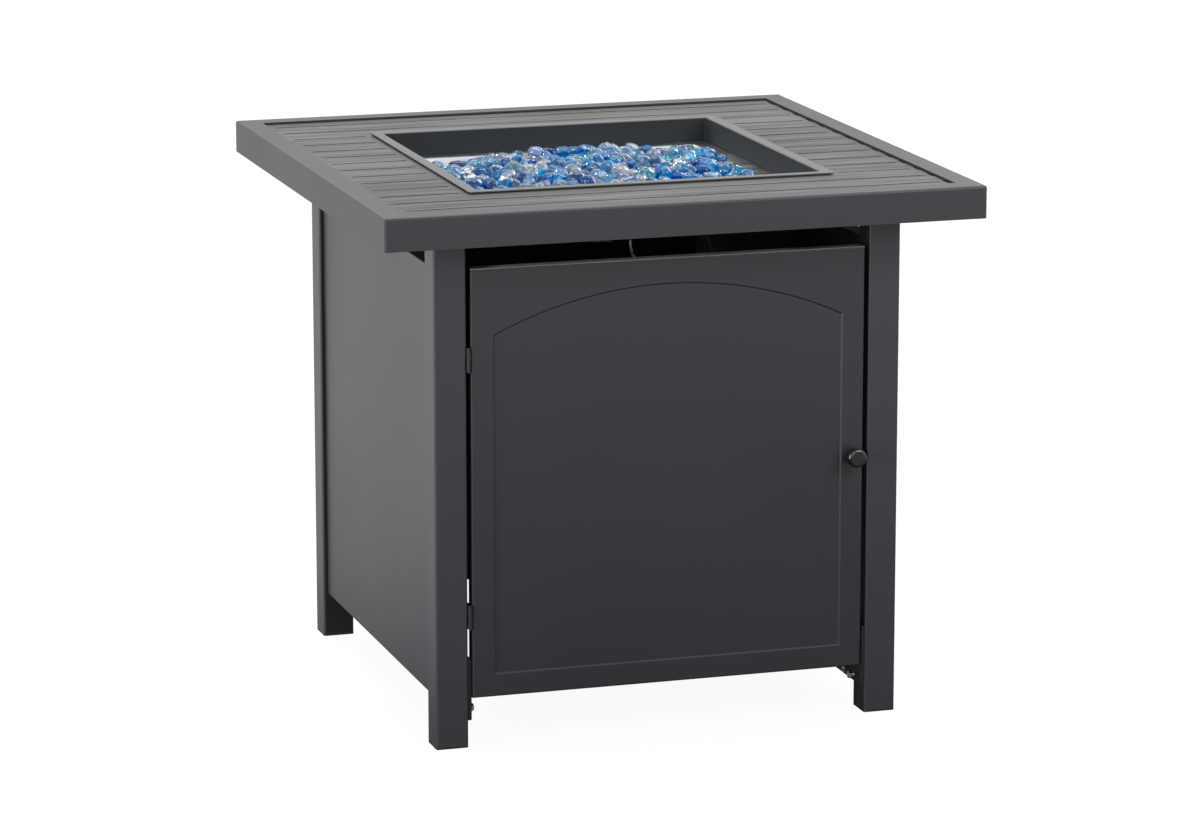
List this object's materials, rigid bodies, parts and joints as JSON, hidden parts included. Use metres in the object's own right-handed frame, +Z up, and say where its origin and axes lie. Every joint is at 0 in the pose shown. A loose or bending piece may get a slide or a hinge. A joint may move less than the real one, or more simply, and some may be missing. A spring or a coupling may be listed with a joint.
{
  "type": "gas fire pit table",
  "caption": "Square patio table with a slatted steel top, a central bowl of fire glass over a gas burner, and a cabinet with a hinged arched-panel door.",
  "frame": {"origin": "on the floor under the middle of the tabletop", "axes": "+Z up, the door faces -Y, +X to the right seen from the door's side, where the controls are"},
  "size_m": [0.7112, 0.7112, 0.635],
  "materials": {
    "top_paint": "semi-matte powder coat, charcoal grey",
    "frame_paint": "semi-matte powder coat, dark charcoal",
    "hinge_paint": "semi-matte powder coat",
    "bracket_paint": "black coat",
    "stainless": "bright stainless sheet",
    "zinc": "zinc-plated steel",
    "brass": "turned brass",
    "tube_metal": "drawn tube",
    "knob_paint": "satin",
    "black_plastic": "moulded",
    "button_plastic": "moulded",
    "rubber": "moulded",
    "lead_grey": "light grey sleeve",
    "lead_dark": "dark sleeve",
    "ceramic": "white ceramic",
    "steel_probe": "steel",
    "magnet_case": "moulded",
    "fire_glass": "polished glass beads"
  },
  "bodies": {
    "table": {"air_mixer": "zinc", "back_panel": "frame_paint", "bearer_back": "bracket_paint", "bearer_front": "bracket_paint", "bottom_rail_left": "frame_paint", "bottom_rail_right": "frame_paint", "burner_elbow": "brass", "burner_pan": "stainless", "burner_ring": "stainless", "burner_riser": "zinc", "cabinet_screws": "zinc", "control_box": "bracket_paint", "control_plate": "stainless", "fire_bowl": "frame_paint", "fire_glass_bed": "fire_glass", "foot_caps": "black_plastic", "frame_bolts": "zinc", "gas_tube": "tube_metal", "gas_valve": "brass", "hinge_leg_rivets": "zinc", "hinge_lower_leg_leaf": "hinge_paint", "hinge_lower_pin": "stainless", "hinge_upper_leg_leaf": "hinge_paint", "hinge_upper_pin": "stainless", "hose_inlet": "brass", "igniter_body": "black_plastic", "igniter_electrode": "ceramic", "igniter_nut": "zinc", "ignition_lead": "lead_grey", "lead_grommets": "rubber", "leg_back_left": "frame_paint", "leg_back_right": "frame_paint", "leg_front_left": "frame_paint", "leg_front_right": "frame_paint", "leg_plugs": "black_plastic", "magnetic_catch": "magnet_case", "orifice_fitting": "brass", "rail_bracket_back_left": "bracket_paint", "rail_bracket_back_right": "bracket_paint", "rail_bracket_front_left": "bracket_paint", "rail_bracket_front_right": "bracket_paint", "riser_nut": "zinc", "side_panel_left": "frame_paint", "side_panel_right": "frame_paint", "slat_panel": "top_paint", "standing_bolts": "zinc", "tabletop_rim": "top_paint", "thermocouple": "steel_probe", "thermocouple_lead": "lead_dark", "top_screws": "zinc"},
    "door": {"door": "frame_paint", "door_knob": "knob_paint", "door_knob_screw": "zinc", "hinge_lower_door_leaf": "hinge_paint", "hinge_upper_door_leaf": "hinge_paint", "hinge_door_rivets": "zinc"},
    "knob_slider": {"valve_collar": "steel_probe"},
    "knob": {"gas_knob": "black_plastic", "valve_stem": "steel_probe"},
    "button": {"igniter_button": "button_plastic"}
  },
  "joints": [
    {"name": "door_hinge", "type": "hinge", "parent": "table", "child": "door", "pos_m": [-0.2389, -0.2796, 0.3035], "axis": [0, 0, -1], "range_deg": [0, 110]},
    {"name": "gas_knob_push", "type": "slide", "parent": "table", "child": "knob_slider", "axis": [-1, 0, 0], "range_m": [0, 0.003], "stiffness_N_per_m": 1200, "springref_m": -0.002},
    {"name": "gas_knob_turn", "type": "hinge", "parent": "knob_slider", "child": "knob", "pos_m": [0.2759, 0.125, 0.49], "axis": [1, 0, 0], "range_deg": [0, 180]},
    {"name": "igniter_push", "type": "slide", "parent": "table", "child": "button", "axis": [-1, 0, 0], "range_m": [0, 0.004], "stiffness_N_per_m": 1500, "springref_m": -0.002}
  ]
}
